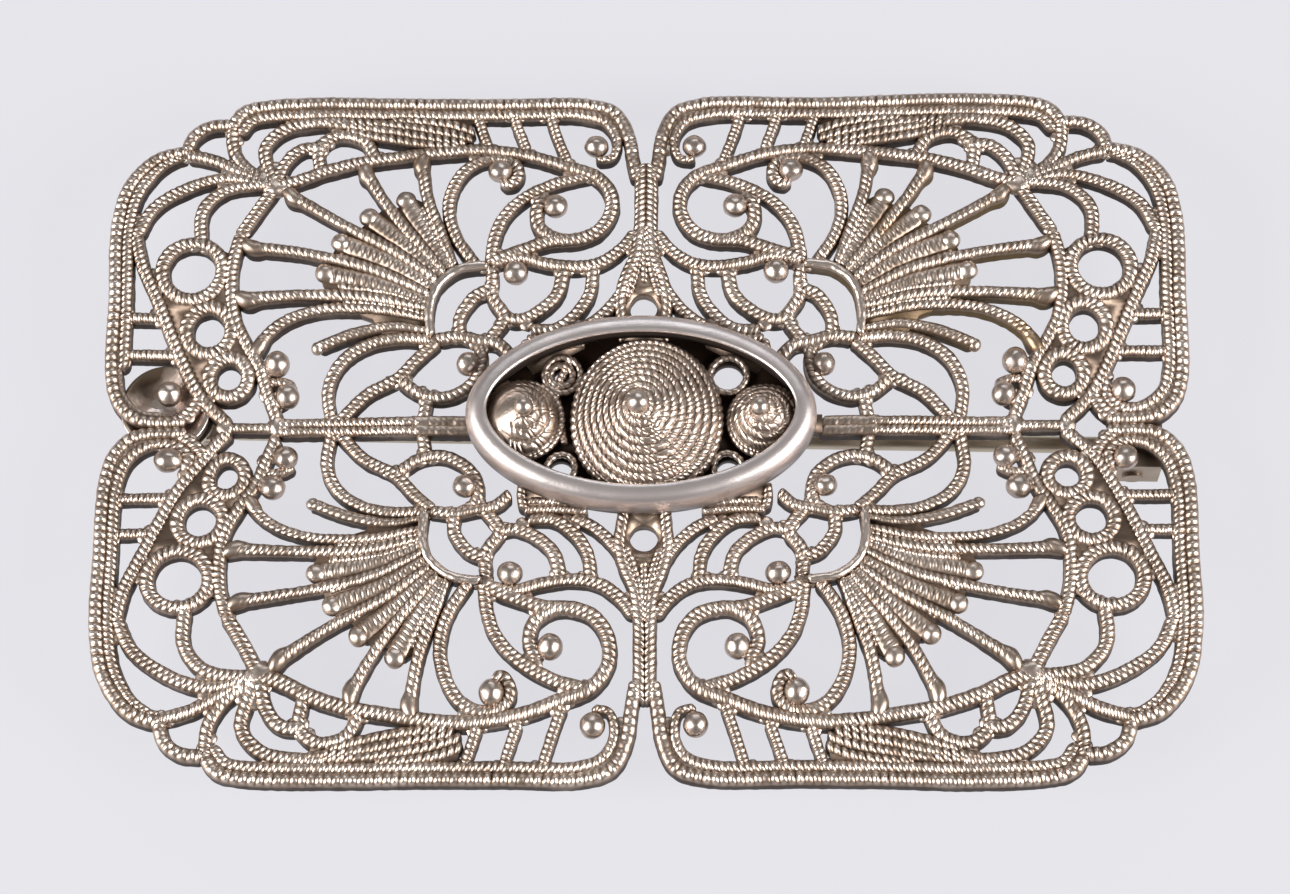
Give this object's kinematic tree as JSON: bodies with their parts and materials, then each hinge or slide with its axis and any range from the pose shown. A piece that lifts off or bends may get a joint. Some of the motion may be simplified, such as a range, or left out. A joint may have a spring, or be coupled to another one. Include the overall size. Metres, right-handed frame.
{
  "type": "brooch",
  "caption": "Rectangular silver openwork brooch of beaded wire with fan motifs, granules, a coiled cone in an oval bezel, and a hinged pin with a safety catch.",
  "frame": {"origin": "under the middle of the brooch, level with the lowest point of the fittings on its back, as it lies face up", "axes": "+X along the long side, from the catch to the hinge; +Y to the top edge; +Z out of the decorated face"},
  "size_m": [0.06, 0.0398, 0.008],
  "materials": {
    "beaded_silver": "satin",
    "granule_silver": "polished",
    "polished_silver": "polished",
    "fitting_metal": "satin"
  },
  "bodies": {
    "brooch": {"apex_balls": "granule_silver", "catch_base": "fitting_metal", "centre_base_plate": "beaded_silver", "centre_cone": "beaded_silver", "hinge_box": "fitting_metal", "hinge_rivet": "fitting_metal", "left_boss": "beaded_silver", "left_centre_bar": "beaded_silver", "lower_left_corner_scallops": "beaded_silver", "lower_left_fan_rays": "beaded_silver", "lower_left_fan_shell": "beaded_silver", "lower_left_frame_bars": "beaded_silver", "lower_left_granules": "granule_silver", "lower_left_inner_frame": "beaded_silver", "lower_left_leaf_wires": "beaded_silver", "lower_left_main_arc": "beaded_silver", "lower_left_outer_frame": "beaded_silver", "lower_left_ring_chain": "beaded_silver", "lower_left_scroll_wires": "beaded_silver", "lower_right_corner_scallops": "beaded_silver", "lower_right_fan_rays": "beaded_silver", "lower_right_fan_shell": "beaded_silver", "lower_right_frame_bars": "beaded_silver", "lower_right_granules": "granule_silver", "lower_right_inner_frame": "beaded_silver", "lower_right_leaf_wires": "beaded_silver", "lower_right_main_arc": "beaded_silver", "lower_right_outer_frame": "beaded_silver", "lower_right_ring_chain": "beaded_silver", "lower_right_scroll_wires": "beaded_silver", "lower_stem": "beaded_silver", "oval_bezel": "polished_silver", "right_boss": "beaded_silver", "right_centre_bar": "beaded_silver", "upper_left_corner_scallops": "beaded_silver", "upper_left_fan_rays": "beaded_silver", "upper_left_fan_shell": "beaded_silver", "upper_left_frame_bars": "beaded_silver", "upper_left_granules": "granule_silver", "upper_left_inner_frame": "beaded_silver", "upper_left_leaf_wires": "beaded_silver", "upper_left_main_arc": "beaded_silver", "upper_left_outer_frame": "beaded_silver", "upper_left_ring_chain": "beaded_silver", "upper_left_scroll_wires": "beaded_silver", "upper_right_corner_scallops": "beaded_silver", "upper_right_fan_rays": "beaded_silver", "upper_right_fan_shell": "beaded_silver", "upper_right_frame_bars": "beaded_silver", "upper_right_granules": "granule_silver", "upper_right_inner_frame": "beaded_silver", "upper_right_leaf_wires": "beaded_silver", "upper_right_main_arc": "beaded_silver", "upper_right_outer_frame": "beaded_silver", "upper_right_ring_chain": "beaded_silver", "upper_right_scroll_wires": "beaded_silver", "upper_stem": "beaded_silver", "wire_loops": "beaded_silver"},
    "pin": {"pin_stem": "fitting_metal"},
    "safety_rotor": {"catch_rotor": "fitting_metal"}
  },
  "joints": [
    {"name": "pin_swing", "type": "hinge", "parent": "brooch", "child": "pin", "pos_m": [0.027, -0.00025, 0.001], "axis": [-0.0182, -0.9998, 0], "range_deg": [0, 100]},
    {"name": "catch_lock", "type": "hinge", "parent": "brooch", "child": "safety_rotor", "pos_m": [-0.02489, 0.00069, 0.0014], "axis": [-0.9998, 0.0181, 0.0077], "range_deg": [0, 90]}
  ]
}
